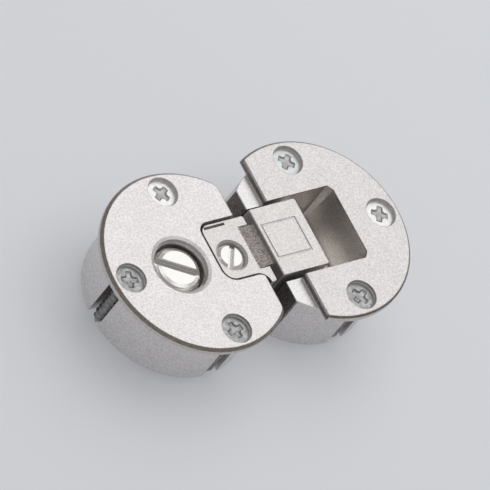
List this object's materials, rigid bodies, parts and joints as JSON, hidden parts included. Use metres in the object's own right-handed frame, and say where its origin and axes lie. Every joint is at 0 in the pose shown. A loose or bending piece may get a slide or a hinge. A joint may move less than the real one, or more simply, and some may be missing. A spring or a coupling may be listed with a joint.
{
  "type": "flap hinge",
  "caption": "Flush flap hinge: round screw-fixed cups joined by an arm on a pivot pin, with slotted screws that set the panel gap and height; folds a quarter turn.",
  "frame": {"origin": "midway between the two cup axes, at the height of the wood screws' tips; the panels' surface is 15.2 mm above it", "axes": "+X from the base cup to the flap cup, +Y along the pivot pin, +Z out of the panels' surface"},
  "size_m": [0.0702, 0.04, 0.0167],
  "materials": {
    "cast_nickel": "fine grained satin nickel plate on zinc die casting",
    "bright_nickel": "bright nickel plated steel",
    "zinc_screw": "zinc plated steel",
    "plain_steel": "plain drawn or pressed steel"
  },
  "bodies": {
    "base": {"base_cup": "cast_nickel", "base_wood_screw_1": "zinc_screw", "base_wood_screw_2": "zinc_screw", "base_wood_screw_3": "zinc_screw"},
    "slide": {"gap_slide": "plain_steel", "tilt_pin": "plain_steel"},
    "arm": {"hinge_arm": "cast_nickel", "pivot_washer_left": "plain_steel", "pivot_washer_right": "plain_steel"},
    "flap": {"flap_cup": "cast_nickel", "pivot_pin": "plain_steel", "flap_wood_screw_1": "zinc_screw", "flap_wood_screw_2": "zinc_screw", "flap_wood_screw_3": "zinc_screw"},
    "clamp_screw": {"clamp_screw": "bright_nickel", "clamp_washer": "plain_steel"},
    "height_screw": {"height_screw": "bright_nickel"}
  },
  "joints": [
    {"name": "gap_adjust", "type": "slide", "parent": "base", "child": "slide", "axis": [1, 0, 0], "range_m": [0, 0.0025]},
    {"name": "height_adjust", "type": "hinge", "parent": "slide", "child": "arm", "pos_m": [-0.00985, 0, 0.01095], "axis": [0, -1, 0], "range_deg": [-2.5, 2.5]},
    {"name": "flap_pivot", "type": "hinge", "parent": "arm", "child": "flap", "pos_m": [0.01185, 0, 0.0064], "axis": [0, -1, 0], "range_deg": [0, 90]},
    {"name": "clamp_screw_turn", "type": "hinge", "parent": "base", "child": "clamp_screw", "pos_m": [-0.0186, 0, 0.0152], "axis": [0, 0, 1], "range_deg": [0, 360]},
    {"name": "height_screw_turn", "type": "hinge", "parent": "arm", "child": "height_screw", "pos_m": [-0.00635, -0.0006, 0.0152], "axis": [0, 0, 1], "range_deg": [-56, 56]}
  ],
  "couplings": [
    {"joint": "height_screw_turn", "follows": "height_adjust", "ratio": -21.991}
  ]
}
